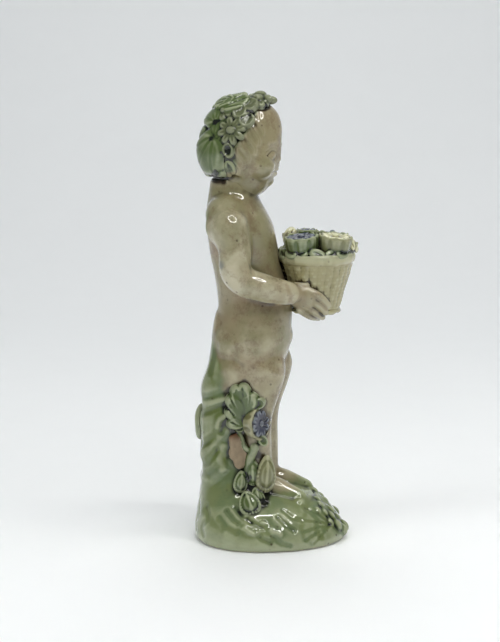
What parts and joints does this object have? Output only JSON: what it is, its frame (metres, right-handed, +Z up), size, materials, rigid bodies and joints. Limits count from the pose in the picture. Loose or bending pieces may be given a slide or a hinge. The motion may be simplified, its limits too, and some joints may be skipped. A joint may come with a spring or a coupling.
{
  "type": "glazed pottery cherub figure",
  "caption": "Standing glazed pottery cherub on a grassy mound, leaning on a tree stump, with a flower wreath and holding a wicker basket of flowers.",
  "frame": {"origin": "centre of the mound's flat underside, on the surface the figure stands on", "axes": "+X is the way the child looks and holds out the basket, +Y is its left side, +Z is up; the picture looks along +Y"},
  "size_m": [0.0459, 0.04, 0.1265],
  "materials": {
    "glazed_pottery": "high gloss lead glaze, brown-olive flesh with green and blue pools"
  },
  "bodies": {
    "root": {"cherub_figure": "glazed_pottery"}
  },
  "joints": []
}
